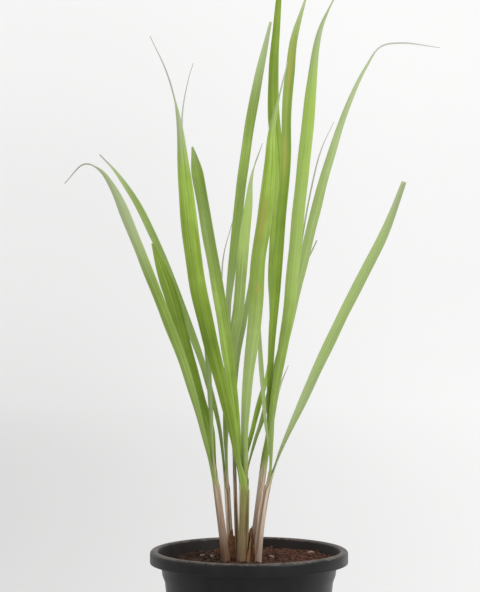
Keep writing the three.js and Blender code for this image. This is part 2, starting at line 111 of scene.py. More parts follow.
# ---- Soil ----
SOIL_LEVEL = .175
SOIL_GAP = .00035  # between the soil and the pot
SOIL_SAG = .0015
SOIL_SLOPE = (.022, .008)  # rise for each metre, to the right and to the back
SOIL_EDGE = SOIL_LEVEL - .008  # the top is as wide as the pot here
SOIL_CHAMFER = .0015
SOIL_RINGS = 72
SOIL_STEPS = 240
MOUND_PLACE = (-.003, -.004)
MOUND_HEIGHT = .0025
MOUND_SPREAD = .0015  # the square of its reach
RIPPLE_HEIGHT = .0009
RIPPLE_LENGTHS = (.011, .009)
RIPPLE_PHASE = .6
CROSS_HEIGHT = .0006
CROSS_LENGTH = .0065
# Lumps, grains and grit: how many to the metre, layer of the noise, and height.
SOIL_NOISE = [(170, 0, .0012), (520, .3, .0006), (1100, .7, .00035)]

CRUMBS = 2200
CRUMB_MARGIN = .002  # no crumb lies nearer to the wall
CRUMB_LEAST = .0006
CRUMB_SPREAD = .0019
CRUMB_WIDTH = (.6, 1)  # shares of a crumb's size
CRUMB_DEPTH = (.5, .9)
CRUMB_DENT = .25
CRUMB_LIFT = .25  # share of its size that a crumb's middle is above the soil
CRUMB_BARK = .7  # the palest crumb's share of bark
FULL_TURN = 6.3  # radians, a little over one turn
FIBRES = 90
FIBRE_MARGIN = .012
FIBRE_LENGTH = (.004, .012)
FIBRE_RADIUS = (.00015, .0004)
FIBRE_CURL = 1.2
FIBRE_SIDES = 4
FIBRE_STEPS = 5

# Red earth lit by the key light, and the same earth with painted shade for its left side.
RED_EARTH = ((.035, .016, .01, 1), (.12, .052, .034, 1))
SHADED_EARTH = ((.012, .008, .006, 1), (.05, .027, .018, 1))
BARK = ((.05, .024, .015, 1), (.19, .1, .065, 1))
PALE_GRIT = (.22, .14, .1, 1)
CHIP_BARK = ((.11, .055, .035, 1), (.4, .27, .21, 1))

# ---- Leaves ----
ROOTED = .018  # a sheath starts this far below the soil's surface
SHEATH_WALL = .00055
LAYER_STEP = .0009  # from one nested sheath's outside to the next one's
SHEATH_WRAP = math.radians(345)
COLLAR_WRAP = math.radians(160)
NECK_LENGTH = .013  # a sheath narrows over this length below its collar
SWELL = .18  # a stalk is this share wider at the soil than at its collars
SWELL_HEIGHT = .04
BROWN_REACH = .09
PAPER_FOOT = (.03, .042)  # a dry margin sets in between these heights
PAPER_WIDTH = .09
STATION = .03  # a blade's curve starts this far below its collar
OPENING = .05  # share of a blade over which it takes its width
UNROLLING = .2  # share over which it flattens
LEAST_BEND = .001  # radius
BLADE_FOLD = math.radians(62)  # how much a blade's section bends about its midrib
THREAD_WIDTH = .0015  # of a blade's dried tip
THREAD_END = .0006
TIP = 1.001  # a share just past the blade's end
LEAF_THICKNESS = .0004
BLADE_FOOT = .45  # a blade's width at its collar, as a share of its greatest
BLADE_SPREAD = .45  # share of the blade's length over which it widens
TAPER_POWER = 1.4  # above 1, a blade narrows faster towards its tip
KEEL = .0003  # the midrib stands out of the blade's back by this
KEEL_WIDTH = .09  # as a share of the blade's half width
KEEL_START = .08  # the ribs give way to the keel over this share of the blade
THIN_WIDTH = .006  # narrower than this, a blade has less keel and wave
RIB_HEIGHT = .00006
RIBS = 7  # on each side of a sheath
MARGIN_WAVE = .0003
WAVE_LENGTH = .06
WAVE_LAG = 2  # radians from one margin's waves to the other's
ACROSS = 24  # faces across a leaf
SHEATH_STATIONS = 44
BLADE_STATIONS = 150
STRIP_SCALE = 10  # of the UV map along a leaf, for each metre
PHASES = 6  # each leaf's grain and waves start at their own place, up to this
AGEING = .16  # a blade turns grey this share before its dead tip
AGEING_BLOOM = .6
DRY_START = .03  # a tip starts to die this share before the named one
DRY_END = .02  # and is dead this share after it
DRY_MARGIN = .03  # margins die this much earlier
RUST_WIDTH = .55
BLADE_RISE = 6  # the rise is 0 at the soil, 1 at the collar and this much more at the tip

DEEP_GREEN = (.104, .182, .009, 1)
LEAF_GREEN = (.19, .285, .028, 1)
BRIGHT_GREEN = (.33, .485, .08, 1)
BLOOM = (.37, .44, .235, 1)
RUST = (.31, .3, .06, 1)
TAN = (.7, .57, .46, 1)
TAN_STREAK = (.25, .16, .1, 1)
STEM_GREEN = (.38, .37, .15, 1)
STEM_STREAK = (.1, .085, .018, 1)
FOOT_BROWN = (.15, .08, .045, 1)
DRY_TIP = (.55, .56, .48, 1)
DRY_STREAK = (.25, .25, .2, 1)
PAPER = (.74, .68, .42, 1)
SHEATH_GREEN = (.24, .27, .075, 1)
LEAF_LAYERS = ("light", "bloom", "dry", "rust", "rise", "blush", "brown", "paper")

# foot: where the axis leaves the soil. top: where it is at reach above the soil. bow: how far the axis runs
# beside the straight line between them. radius: the outermost sheath's outside. blush: 0 green, 1 pink tan.
# brown: how much of the sheath has browned, at the soil and at BROWN_REACH above it.
STALKS = {
    "a": dict(foot=(-.023, -.014), top=(-.0365, -.02), reach=.107, bow=(0, 0), radius=.0036,
              blush=.75, brown=(1, -.2)),
    "b": dict(foot=(-.018, -.003), top=(-.024, .003), reach=.105, bow=(0, 0), radius=.003,
              blush=.9, brown=(.55, -1.1)),
    "c": dict(foot=(-.012, .009), top=(-.015, .017), reach=.105, bow=(0, 0), radius=.0019,
              blush=.7, brown=(1, .3)),
    "d": dict(foot=(-.0065, -.016), top=(-.004, -.019), reach=.105, bow=(0, 0), radius=.0052,
              blush=.15, brown=(.65, -.05)),
    "e": dict(foot=(.003, -.006), top=(.018, 0), reach=.12, bow=(0, 0), radius=.0036,
              blush=.85, brown=(.4, -.3)),
    "f": dict(foot=(.009, -.016), top=(.022, -.022), reach=.092, bow=(-.002, 0), radius=.0031,
              blush=1, brown=(.35, -.45)),
    "g": dict(foot=(-.005, .013), top=(-.004, .019), reach=.1, bow=(0, 0), radius=.003,
              blush=.8, brown=(.9, .3)),
}

# A leaf's letter names its stalk, and its number is 1 for the outermost sheath. side: compass angle of the
# midrib about the stalk, 0 at +X. collar: height above the soil where the blade starts. width: the blade's
# greatest. taper: shares of the blade's length where it starts to narrow and where it is a dry thread. turn:
# the blade's twist in degrees, and the shares where that starts and ends. light: -1 deep green to 1 bright,
# from the foot to the tip. It is partly the leaf's own tone and partly painted shade and light, darker
# where the leaf lies in the clump's shade. bloom: how much grey wax, from the foot to the tip. dry: the
# share where the tip has died. rust: spots as share, place across, reach and strength. paper: where across
# the sheath a dry pale margin lies. route: points on the midrib.
LEAVES = [
    dict(name="a1", side=-150, collar=.084, width=.0112, taper=(.75, .915), turn=(40, 0, .25),
         light=(-.2, .1, .1, .5, -1), bloom=(.2, .2, .1, .9, 1), dry=.91,
         route=[(-.047, -.026, .308), (-.063, -.035, .367), (-.089, -.046, .437), (-.112, -.056, .496),
                (-.132, -.065, .544), (-.146, -.069, .564), (-.16, -.071, .569), (-.179, -.074, .55)]),
    dict(name="a2", side=100, collar=.094, width=.0165, taper=(.8, 1.03), turn=(10, 0, .3),
         light=(-.3, -.4, -.2, -.1, .2), bloom=(0, 0), dry=1.1,
         route=[(-.04, -.004, .306), (-.051, .004, .336), (-.063, .012, .376), (-.079, .022, .437),
                (-.099, .03, .495)]),
    dict(name="a3", side=-80, collar=.104, width=.008, taper=(.5, .82), turn=(0, 0, .3),
         light=(-.6, 0), bloom=(.4, .4), dry=.82,
         route=[(-.038, -.021, .322), (-.043, -.023, .407), (-.05, -.024, .457), (-.061, -.022, .552),
                (-.067, -.018, .617), (-.061, -.012, .658), (-.056, -.01, .675)]),
    dict(name="b1", side=145, collar=.08, width=.0084, taper=(.8, 1), turn=(-30, 0, .25),
         light=(.8, 1, .9, .2, .2), bloom=(.4, .3), dry=.97,
         route=[(-.03, .007, .305), (-.045, .016, .363), (-.068, .031, .427), (-.093, .046, .489),
                (-.119, .058, .541), (-.141, .064, .573), (-.156, .066, .589)]),
    dict(name="b2", side=-30, collar=.092, width=.0135, taper=(.7, .94), turn=(-30, 0, .25),
         light=(-.2, .1, .1, 1, 1), bloom=(.3, .3), dry=.94,
         route=[(-.022, -.003, .326), (-.017, .006, .386), (-.01, .012, .427), (-.006, .018, .478),
                (0, .024, .534), (.004, .028, .568), (.014, .031, .598)]),
    dict(name="b3", side=40, collar=.1, width=.0104, taper=(.82, 1.04), turn=(51, .3, .65),
         light=(1, 1, .9, .15, 1.2), bloom=(.8, .9, .2, .12, 1), dry=1.1,
         route=[(-.024, .007, .318), (-.022, .012, .376), (-.0197, .018, .437), (-.0137, .027, .498),
                (-.007, .037, .561), (.002, .048, .624), (.012, .058, .677), (.023, .066, .728)]),
    dict(name="c1", side=95, collar=.088, width=.008, taper=(.4, 1), turn=(40, 0, .3),
         light=(-.2, 0), bloom=(.4, .4), dry=1.02,
         route=[(-.016, .028, .324), (-.012, .046, .38), (-.005, .058, .416), (-.001, .066, .44),
                (.006, .08, .479), (.021, .112, .571)]),
    dict(name="c2", side=120, collar=.1, width=.0045, taper=(.3, .75), turn=(0, 0, .3),
         light=(0, 0), bloom=(.6, .6), dry=.74,
         route=[(-.018, .024, .319), (-.023, .038, .385), (-.028, .05, .452), (-.026, .055, .484),
                (-.017, .06, .518)]),
    dict(name="d1", side=-135, collar=.078, width=.0173, taper=(.6, .87), turn=(35, 0, .25),
         light=(.4, -.2, -.8, .3, .6, .1, 0), bloom=(.1, 0, 0, 0, 0, .6, .6), dry=.87, paper=.13,
         route=[(-.015, -.03, .293), (-.024, -.039, .338), (-.039, -.051, .398), (-.051, -.063, .453),
                (-.059, -.075, .515), (-.064, -.085, .569), (-.068, -.091, .61), (-.072, -.094, .631),
                (-.08, -.097, .657), (-.095, -.1, .689)]),
    dict(name="d2", side=150, collar=.09, width=.0135, taper=(.91, 1.01), turn=(-40, 0, .25),
         light=(.5, .5, .3, -.6, -.6), bloom=(0, 0, .1, .2, 0), dry=1.05,
         route=[(-.013, -.012, .317), (-.021, -.009, .377), (-.03, -.002, .437), (-.041, .008, .498),
                (-.05, .019, .549), (-.058, .028, .594)]),
    dict(name="d3", side=-90, collar=.098, width=.0155, taper=(.65, .94), turn=(15, 0, .3),
         light=(.3, .3, .1, .4, .5), bloom=(.4, .4, .1, 0, .1), dry=.94,
         rust=[(.62, .3, .07, .8), (.45, 0, .02, .7)],
         route=[(-.004, -.033, .318), (0, -.043, .368), (.006, -.057, .418), (.009, -.071, .474),
                (.016, -.082, .522), (.02, -.091, .567), (.022, -.098, .601), (.036, -.11, .663)]),
    dict(name="d4", side=55, collar=.104, width=.009, taper=(.5, 1), turn=(0, 0, .3),
         light=(-.5, -.3), bloom=(.2, .2), dry=1,
         route=[(-.001, .014, .345), (.003, .05, .395), (.009, .09, .447), (.015, .13, .502),
                (.024, .178, .586)]),
    dict(name="e1", side=-90, collar=.098, width=.0132, taper=(.72, 1), turn=(-15, 0, .3),
         light=(.3, .4, 1, 1, 1), bloom=(.1, .15, .25, .1, 1), dry=1.02,
         route=[(.022, -.014, .317), (.028, -.023, .359), (.0375, -.035, .417), (.0435, -.046, .476),
                (.049, -.055, .535), (.055, -.063, .593), (.06, -.07, .644), (.064, -.074, .679),
                (.07, -.077, .703), (.083, -.079, .731)]),
    dict(name="e2", side=80, collar=.106, width=.0045, taper=(.3, .8), turn=(0, 0, .3),
         light=(.3, .3), bloom=(.5, .5), dry=.78,
         route=[(.021, .012, .32), (.029, .018, .355), (.039, .027, .406), (.054, .043, .494),
                (.065, .058, .552), (.076, .072, .594), (.09, .082, .625)]),
    dict(name="e3", side=-50, collar=.112, width=.0109, taper=(.5, .9), turn=(-25, 0, .25),
         light=(.2, .2, .2, 0, 0), bloom=(.4, .4, .4, .8, .8), dry=.86,
         route=[(.028, -.004, .348), (.042, .008, .417), (.059, .02, .489), (.076, .032, .556),
                (.09, .039, .602), (.105, .045, .644), (.122, .049, .679), (.137, .051, .7),
                (.159, .052, .704), (.199, .052, .699)]),
    dict(name="e4", side=110, collar=.118, width=.011, taper=(.8, 1), turn=(0, 0, .3),
         light=(-.2, -.2, -.4, -.2, .5), bloom=(0, 0, 0, .1, .4), dry=1.02,
         rust=[(.82, 0, .1, .8), (.62, -.2, .08, .7)],
         route=[(.02, .003, .336), (.0225, .004, .391), (.027, .006, .447), (.032, .012, .518),
                (.0375, .018, .58), (.038, .024, .626), (.042, .029, .673), (.046, .032, .704),
                (.062, .038, .759)]),
    dict(name="f1", side=10, collar=.084, width=.0114, taper=(.73, 1.14), turn=(55, 0, .25),
         light=(1, 1, 1, 1, 1), bloom=(.9, .7, .5, .6, .9), dry=1.03,
         route=[(.031, -.023, .284), (.05, -.026, .328), (.077, -.033, .388), (.106, -.04, .448),
                (.1283, -.046, .492), (.141, -.049, .522), (.152, -.052, .553)]),
    dict(name="f2", side=-100, collar=.088, width=.0055, taper=(.2, .85), turn=(0, 0, .3),
         light=(-.1, .1), bloom=(.3, .3), dry=.8,
         route=[(.022, -.027, .298), (.024, -.03, .323), (.028, -.031, .34), (.032, -.031, .355),
                (.039, -.031, .372)]),
    dict(name="f3", side=150, collar=.092, width=.006, taper=(.45, 1), turn=(-20, 0, .3),
         light=(0, 0), bloom=(.5, .5), dry=.9,
         route=[(.019, -.02, .292), (.015, -.019, .325), (.012, -.016, .367), (.009, -.016, .417),
                (.008, -.017, .457), (.011, -.019, .502)]),
    dict(name="g1", side=20, collar=.084, width=.008, taper=(.5, 1), turn=(40, 0, .25),
         light=(.1, .1), bloom=(.5, .5), dry=.95,
         route=[(.007, .02, .294), (.013, .024, .311), (.024, .028, .35), (.043, .042, .421),
                (.056, .05, .466), (.071, .056, .499)]),
    dict(name="g2", side=110, collar=.096, width=.0134, taper=(.65, 1.06), turn=(150, 0, .5),
         light=(.5, .7, .7, -.3, -.2), bloom=(0, 0), dry=1.2,
         route=[(.003, .026, .304), (.011, .034, .334), (.019, .043, .364), (.022, .054, .406),
                (.024, .066, .453), (.0295, .084, .527), (.031, .098, .581), (.027, .11, .635),
                (.027, .12, .685), (.037, .138, .809)]),
]

# A dead sheath is a curled scale at a stalk's foot: how high it stands, and how many degrees round it goes.
DEAD_SHEATHS = [
    dict(name="dead_sheath_1", stalk="d", side=10, height=.03, reach=140),
    dict(name="dead_sheath_2", stalk="e", side=215, height=.032, reach=170),
    dict(name="dead_sheath_3", stalk="b", side=-70, height=.03, reach=150),
]
DEAD_ROOT = .006  # a dead sheath starts this far under the soil's surface
DEAD_CLEAR = .0011  # from the stalk to the middle of a dead sheath's wall
DEAD_FLARE = .0012
DEAD_FLARE_HEIGHT = .03
DEAD_TIP_REACH = .55  # share of its reach that a dead sheath keeps at its tip
DEAD_SIDES = .35  # share of its height that it loses towards its sides
DEAD_TEAR = (4, .22)  # tears across half of it, and their share of its height
DEAD_TEAR_NOISE = 900  # each height has its own tears
DEAD_CRUMPLES = (3, 180)  # across half of a dead sheath, and to the metre along it
DEAD_CRUMPLE = .0007
DEAD_CRUMPLE_START = .01
DEAD_DENT = .0003  # a crumple goes no deeper than this towards the stalk
DEAD_THICKNESS = .0005
DEAD_STATIONS = 26

DEAD_BROWN = ((.15, .065, .028, 1), (.36, .19, .09, 1))
DEAD_STAIN = (.07, .032, .014, 1)

# Chips of bark and grit: place on the soil, size, turn in degrees.
CHIPS = [
    dict(name="chip_1", place=(.064, .034), size=(.007, .005, .003), turn=10),
    dict(name="chip_2", place=(-.037, .014), size=(.005, .004, .003), turn=70),
    dict(name="chip_3", place=(.023, .004), size=(.005, .004, .003), turn=-30),
    dict(name="chip_4", place=(-.048, .034), size=(.005, .004, .003), turn=110),
]
CHIP_DENTS = (1.9, .24)  # how many across a chip of size 1, and how deep
CHIP_FACETS = (6, .06)
CHIP_NOISES = 50  # each chip has its own place in the noise
CHIP_SEED = 5  # without it, the dents start from the clock
CHIP_REACH = .002  # a chip rests on the highest soil within this distance
CHIP_LIFT = .42  # share of its height that a chip's middle is above the soil


# ---- Curves and numbers ----
def lerp(a, b, share):
    return a + (b - a) * share


def smoothstep(value, low, high):
    share = min(max((value - low) / (high - low), 0), 1)
    return share * share * (3 - 2 * share)


def graded(values, share):
    """A number that runs smoothly through values spaced evenly from 0 to 1."""
    place = min(max(share, 0), 1) * (len(values) - 1)
    step = min(int(place), len(values) - 2)
    return lerp(values[step], values[step + 1], smoothstep(place - step, 0, 1))


class Route:
    """A centripetal Catmull-Rom curve through points, walked by its length."""

    STEPS = 24  # from each point to the next
    REACH = .006  # share of the length over which a heading is measured, each way

    def __init__(self, points):
        ends = [2 * points[0] - points[1], *points, 2 * points[-1] - points[-2]]
        self.points = [points[0]]
        for four in zip(ends, ends[1:], ends[2:], ends[3:]):
            self.points += [self.between(four, step / self.STEPS) for step in range(1, self.STEPS + 1)]
        self.walked = [0]
        for here, there in zip(self.points, self.points[1:]):
            self.walked.append(self.walked[-1] + (there - here).length)
        self.length = self.walked[-1]

    @staticmethod
    def between(four, share):
        knots = [0]
        for here, there in zip(four, four[1:]):
            knots.append(knots[-1] + math.sqrt((there - here).length))
        time = lerp(knots[1], knots[2], share)
        row = four
        for span in (1, 2):
            pairs = zip(row, row[1:], knots, knots[span:])
            row = [here.lerp(there, (time - low) / (high - low)) for here, there, low, high in pairs]
        return row[0].lerp(row[1], share)

    def at(self, share):
        distance = min(max(share, 0), 1) * self.length
        step = min(max(bisect.bisect_left(self.walked, distance) - 1, 0), len(self.points) - 2)
        piece = self.walked[step + 1] - self.walked[step]
        return self.points[step].lerp(self.points[step + 1], (distance - self.walked[step]) / piece)

    def heading(self, share):
        return (self.at(share + self.REACH) - self.at(share - self.REACH)).normalized()


# ---- Materials ----
class Value:
    """A node's output, written as a number in shader maths."""

    def __init__(self, finish, socket):
        self.finish = finish
        self.socket = socket

    def __add__(self, other):
        return self.finish.maths("ADD", self, other)

    def __sub__(self, other):
        return self.finish.maths("SUBTRACT", self, other)

    def __mul__(self, other):
        return self.finish.maths("MULTIPLY", self, other)

    def __pow__(self, other):
        return self.finish.maths("POWER", self, other)

    def __rsub__(self, other):
        return self.finish.maths("SUBTRACT", other, self)

    __radd__ = __add__
    __rmul__ = __mul__


class Finish:
    """One material: its shader, and the nodes that drive it."""

    def __init__(self, name, **shader):
        self.material = bpy.data.materials.new(name)
        self.material.use_nodes = True
        self.tree = self.material.node_tree
        self.shader = self.tree.nodes["Principled BSDF"]
        for socket, value in shader.items():
            self.shader.inputs[socket.replace("_", " ")].default_value = value

    def node(self, kind, settings=None, sockets=None, output=0):
        made = self.tree.nodes.new(kind)
        for name, setting in (settings or {}).items():
            setattr(made, name, setting)
        for name, value in (sockets or {}).items():
            self.feed(made.inputs[name], value)
        return Value(self, made.outputs[output])

    def feed(self, socket, value):
        if isinstance(value, Value):
            self.tree.links.new(value.socket, socket)
        else:
            socket.default_value = value

    def drive(self, **sockets):
        for name, value in sockets.items():
            self.feed(self.shader.inputs[name.replace("_", " ")], value)
        return self.material

    def maths(self, operation, *values):
        return self.node("ShaderNodeMath", {"operation": operation}, dict(enumerate(values)))

    def fade(self, value, low, high):
        """0 below low, 1 above high, and a smooth step between them. low may be the greater."""
        sockets = {"Value": value, "From Min": low, "From Max": high}
        return self.node("ShaderNodeMapRange", {"interpolation_type": "SMOOTHSTEP"}, sockets)

    def line(self, value, low, high):
        return self.node("ShaderNodeMapRange", sockets={"Value": value, "From Min": low, "From Max": high})

    def clip(self, value):
        return self.line(value, 0, 1)

    def mix(self, share, under, over):
        return self.node("ShaderNodeMix", {"data_type": "RGBA"}, {0: share, 6: under, 7: over}, 2)

    def attribute(self, name):
        return self.node("ShaderNodeAttribute", {"attribute_name": name}, output="Fac")

    def place(self):
        return self.node("ShaderNodeTexCoord", output="Object")

    def strip(self):
        return self.node("ShaderNodeUVMap", {"uv_map": "Strip"})

    def axis(self, vector, name):
        return self.node("ShaderNodeSeparateXYZ", sockets={0: vector}, output=name)

    def radius(self, vector):
        return self.maths("SQRT", self.axis(vector, "X") ** 2 + self.axis(vector, "Y") ** 2)

    def stretch(self, vector, scale):
        return self.node("ShaderNodeVectorMath", {"operation": "MULTIPLY"}, {0: vector, 1: scale})

    def cloud(self, vector, scale, detail=3, roughness=.55):
        sockets = {"Vector": vector, "Scale": scale, "Detail": detail, "Roughness": roughness}
        return self.node("ShaderNodeTexNoise", sockets=sockets)

    def bump(self, height, distance, strength=1):
        sockets = {"Height": height, "Distance": distance, "Strength": strength}
        return self.node("ShaderNodeBump", sockets=sockets)


def leaf_finish():
    finish = Finish("Lemongrass leaf", Specular_IOR_Level=.2)
    strip = finish.strip()
    light, bloom, dry, rust, rise, blush, brown, paper = [finish.attribute(name) for name in LEAF_LAYERS]
    across = finish.maths("ABSOLUTE", finish.axis(strip, "X") * 2 - 1)
    fibres = finish.cloud(finish.stretch(strip, (46, 5, 0)), 1, 3)
    veins = finish.cloud(finish.stretch(strip, (70, .8, 0)), 1, 1)
    bands = finish.cloud(finish.stretch(strip, (9, .6, 0)), 1, 2)
    patches = finish.cloud(finish.place(), 26, 3)
    # Blade: deep, middle and bright green with darker and lighter veins, a paler midrib and grey wax.
    midrib = finish.fade(across, .14, .03)
    margin = finish.fade(across, .8, 1)
    # The light layer is partly the leaf's own tone and partly painted shade and light.
    shade = (light * .5 + .5 + (patches - .5) * .7 + (fibres - .5) * .4 + (veins - .5) * .4
             + (bands - .5) * 1.1 + midrib * .1)
    green = finish.mix(finish.fade(shade, 0, .5), DEEP_GREEN, LEAF_GREEN)
    green = finish.mix(finish.fade(shade, .5, 1), green, BRIGHT_GREEN)
    green = finish.mix(finish.clip(bloom + margin * .25 + midrib * .1), green, BLOOM)
    green = finish.mix(finish.fade(rust + (fibres - .5) * .6, .2, .9), green, RUST)
    # Sheath: tan or green by its stalk, streaked, browner towards the soil.
    streaks = finish.fade(fibres * .3 + bands * .7, .41, .59)
    tan = finish.mix(streaks, TAN_STREAK, TAN)
    stem = finish.mix(streaks, STEM_STREAK, STEM_GREEN)
    pink = finish.fade(blush + (patches - .5) * .5 - rise * .35 + .1, .1, .6)
    body = finish.mix(pink, stem, tan)
    body = finish.mix(finish.fade(rise + (bands - .5) * .8 - blush * .4, .35, .95) * .8, body, SHEATH_GREEN)
    body = finish.mix(finish.clip(brown + (bands - .5) * 2 + (patches - .5) * .6), body, FOOT_BROWN)
    body = finish.mix(paper, body, PAPER)
    colour = finish.mix(finish.fade(rise + (fibres - .5) * .2, 1.12, .86), green, body)
    # Dead tips: pale grey threads.
    straw = finish.mix(streaks * finish.fade(light, -.9, -.4), DRY_STREAK, DRY_TIP)
    dead = finish.fade(dry + (patches - .5) * .5, .3, .7)
    colour = finish.mix(dead, colour, straw)
    rough = .42 + fibres * .15 + dead * .25
    normal = finish.bump(veins * .5 + fibres * .5, .0002, .5)
    return finish.drive(Base_Color=colour, Roughness=rough, Normal=normal)


def pot_finish():
    finish = Finish("Pot plastic", Specular_IOR_Level=.22)
    place = finish.place()
    height = finish.axis(place, "Z")
    radius = finish.radius(place)
    scuffs = finish.cloud(finish.stretch(place, (90, 90, 30)), 1, 4, .7)
    grain = finish.cloud(place, 1400, 2)
    smears = finish.cloud(finish.stretch(place, (30, 30, 9)), 1, 3)
    # Soil dust lies thinly on the lip's crown and inside it. The crown's pale band is partly that dust and
    # partly a painted highlight, for the light that the rounded crown catches from above.
    skirt = POT_HEIGHT - LIP_DROP
    lip_inside = RIM_RADIUS - LIP_WIDTH
    crown = finish.fade(height, POT_HEIGHT - .003, POT_HEIGHT - .0008)
    above = finish.fade(height, skirt + .0005, skirt + .0015)
    inside = finish.fade(radius, lip_inside + .0015, lip_inside + .0005) * above
    black = finish.mix(finish.fade(smears, .35, .7), POT_BLACK, POT_SMEAR)
    film = finish.cloud(place, 420, 3, .6)
    # Dust and scuffs, with a painted highlight on the crown as well as dust.
    dust_and_sheen = finish.fade(scuffs * .6 + film * .4 + crown * .3 + inside * .04, .6, 1.05) * .8
    black = finish.mix(inside * .8, black, POT_INSIDE)
    colour = finish.mix(dust_and_sheen, black, POT_DUST_AND_SHEEN)
    rough = .33 + finish.fade(smears, .3, .7) * .14 + dust_and_sheen * .35 + inside * .2
    normal = finish.bump(grain * .4 + scuffs * .6, .00015, .25)
    return finish.drive(Base_Color=colour, Roughness=rough, Normal=normal)


def soil_finish():
    finish = Finish("Potting soil", Specular_IOR_Level=.15)
    place = finish.place()
    tint = finish.attribute("tint")
    lumps = finish.cloud(place, 240, 4, .6)
    grit = finish.cloud(place, 1100, 2)
    shade_wobble = finish.cloud(place, 24, 4)
    crests = finish.fade(lumps, .3, .7)
    red, shaded, bark = [finish.mix(crests, *shades) for shades in (RED_EARTH, SHADED_EARTH, BARK)]
    # Painted shade: the soil is darker on the left, lighter on the right, for the key light from the right.
    earth = finish.mix(finish.fade(finish.axis(place, "X") + (shade_wobble - .5) * .3, -.07, .06), shaded, red)
    earth = finish.mix(finish.fade(grit, .66, .8) * .35, earth, PALE_GRIT)
    colour = finish.mix(tint, earth, bark)
    normal = finish.bump(lumps + grit * .3, .0008, .7)
    return finish.drive(Base_Color=colour, Roughness=.85 + lumps * .15, Normal=normal)


def chip_finish():
    finish = Finish("Bark chip", Specular_IOR_Level=.2)
    place = finish.place()
    grain = finish.cloud(finish.stretch(place, (1500, 260, 900)), 1, 4, .6)
    colour = finish.mix(finish.fade(grain, .3, .7), *CHIP_BARK)
    return finish.drive(Base_Color=colour, Roughness=.7 + grain * .25, Normal=finish.bump(grain, .0003, .8))


def dead_finish():
    finish = Finish("Dead sheath", Specular_IOR_Level=.25)
    strip = finish.strip()
    fibres = finish.cloud(finish.stretch(strip, (26, 9, 0)), 1, 4, .6)
    stain = finish.cloud(finish.place(), 160, 3)
    colour = finish.mix(finish.fade(fibres, .35, .65), *DEAD_BROWN)
    colour = finish.mix(finish.fade(stain, .45, .7) * .4, colour, DEAD_STAIN)
    return finish.drive(Base_Color=colour, Roughness=.7 + fibres * .2, Normal=finish.bump(fibres, .0003, .8))


def floor_finish():
    finish = Finish("Studio floor", Base_Color=FLOOR_BASE, Roughness=.9, Emission_Strength=1)
    place = finish.place()
    radius = finish.radius(place)
    # Painted light: the glow darkens to the left and near the pot, for the key light from the right.
    sideways = finish.fade(finish.axis(place, "X"), -GLOW_SIDES, GLOW_SIDES)
    near, far, wall = [finish.mix(sideways, *pair) for pair in (FLOOR_NEAR, FLOOR_FAR, STUDIO_WALL)]
    glow = finish.mix(finish.line(radius, GLOW_NEAR, GLOW_FAR), near, far)
    rise = finish.fade(finish.axis(place, "Z"), *WALL_RISE)
    return finish.drive(Emission_Color=finish.mix(rise, glow, wall))


# ---- Pot ----
def spun(profile, steps, closed=False):
    """A profile of (radius, height) points turned about the pot's axis."""
    mesh = bmesh.new()
    rail = [mesh.verts.new((0, -radius, height)) for radius, height in profile]
    pairs = list(zip(rail, rail[1:])) + ([(rail[-1], rail[0])] if closed else [])
    edges = [mesh.edges.new(pair) for pair in pairs]
    turn = dict(angle=2 * math.pi, axis=(0, 0, 1), cent=(0, 0, 0), steps=steps)
    bmesh.ops.spin(mesh, geom=rail + edges, use_merge=True, **turn)
    bmesh.ops.remove_doubles(mesh, verts=mesh.verts, dist=MERGED)
    bmesh.ops.recalc_face_normals(mesh, faces=mesh.faces)
    return mesh


def wall_profile():
    """The wall's section: out round the foot ring, up the outside, over the lip and down the inside."""
    skirt = POT_HEIGHT - LIP_DROP
    floor_top = FLOOR_RISE + POT_FLOOR
    neck = SHOULDER_RADIUS + SHOULDER_STEP
    crown = RIM_RADIUS - LIP_WIDTH / 2
    roof = POT_HEIGHT - LIP_ROOF
    foot = BASE_RADIUS - FOOT_WIDTH
    lip = [(crown + LIP_WIDTH / 2 * math.cos(angle), POT_HEIGHT - LIP_CROWN * (1 - math.sin(angle)))
           for angle in (math.pi * step / LIP_STEPS for step in range(LIP_STEPS + 1))]
    return [
        (foot, 0), (BASE_RADIUS, 0), (SHOULDER_RADIUS, SHOULDER_HEIGHT), (neck, SHOULDER_TOP),
        (NECK_RADIUS, skirt), (NECK_RADIUS + LIP_FILLET, roof - LIP_FILLET),
        (RIM_RADIUS - POT_WALL, roof), (RIM_RADIUS - POT_WALL, skirt), (RIM_RADIUS, skirt), *lip,
        (NECK_RADIUS - POT_WALL, skirt), (neck - POT_WALL, SHOULDER_TOP),
        (SHOULDER_RADIUS - POT_WALL, SHOULDER_HEIGHT), (BASE_RADIUS - POT_WALL, floor_top),
        (foot - FOOT_STEP, floor_top), (foot - FOOT_STEP, FLOOR_RISE),
    ]


def build_pot(material):
    mesh = spun(wall_profile(), POT_STEPS, closed=True)
    rings = [edge for edge in mesh.edges if edge.calc_face_angle(0) > SHARP_EDGE
             and abs(edge.verts[0].co.z - edge.verts[1].co.z) < MERGED]
    bmesh.ops.bevel(mesh, geom=rings, offset=EDGE_ROUND, offset_type="OFFSET", affect="EDGES", segments=2,
                    profile=.5, material=-1, clamp_overlap=True)
    finished("pot_wall", mesh, material, "pot")


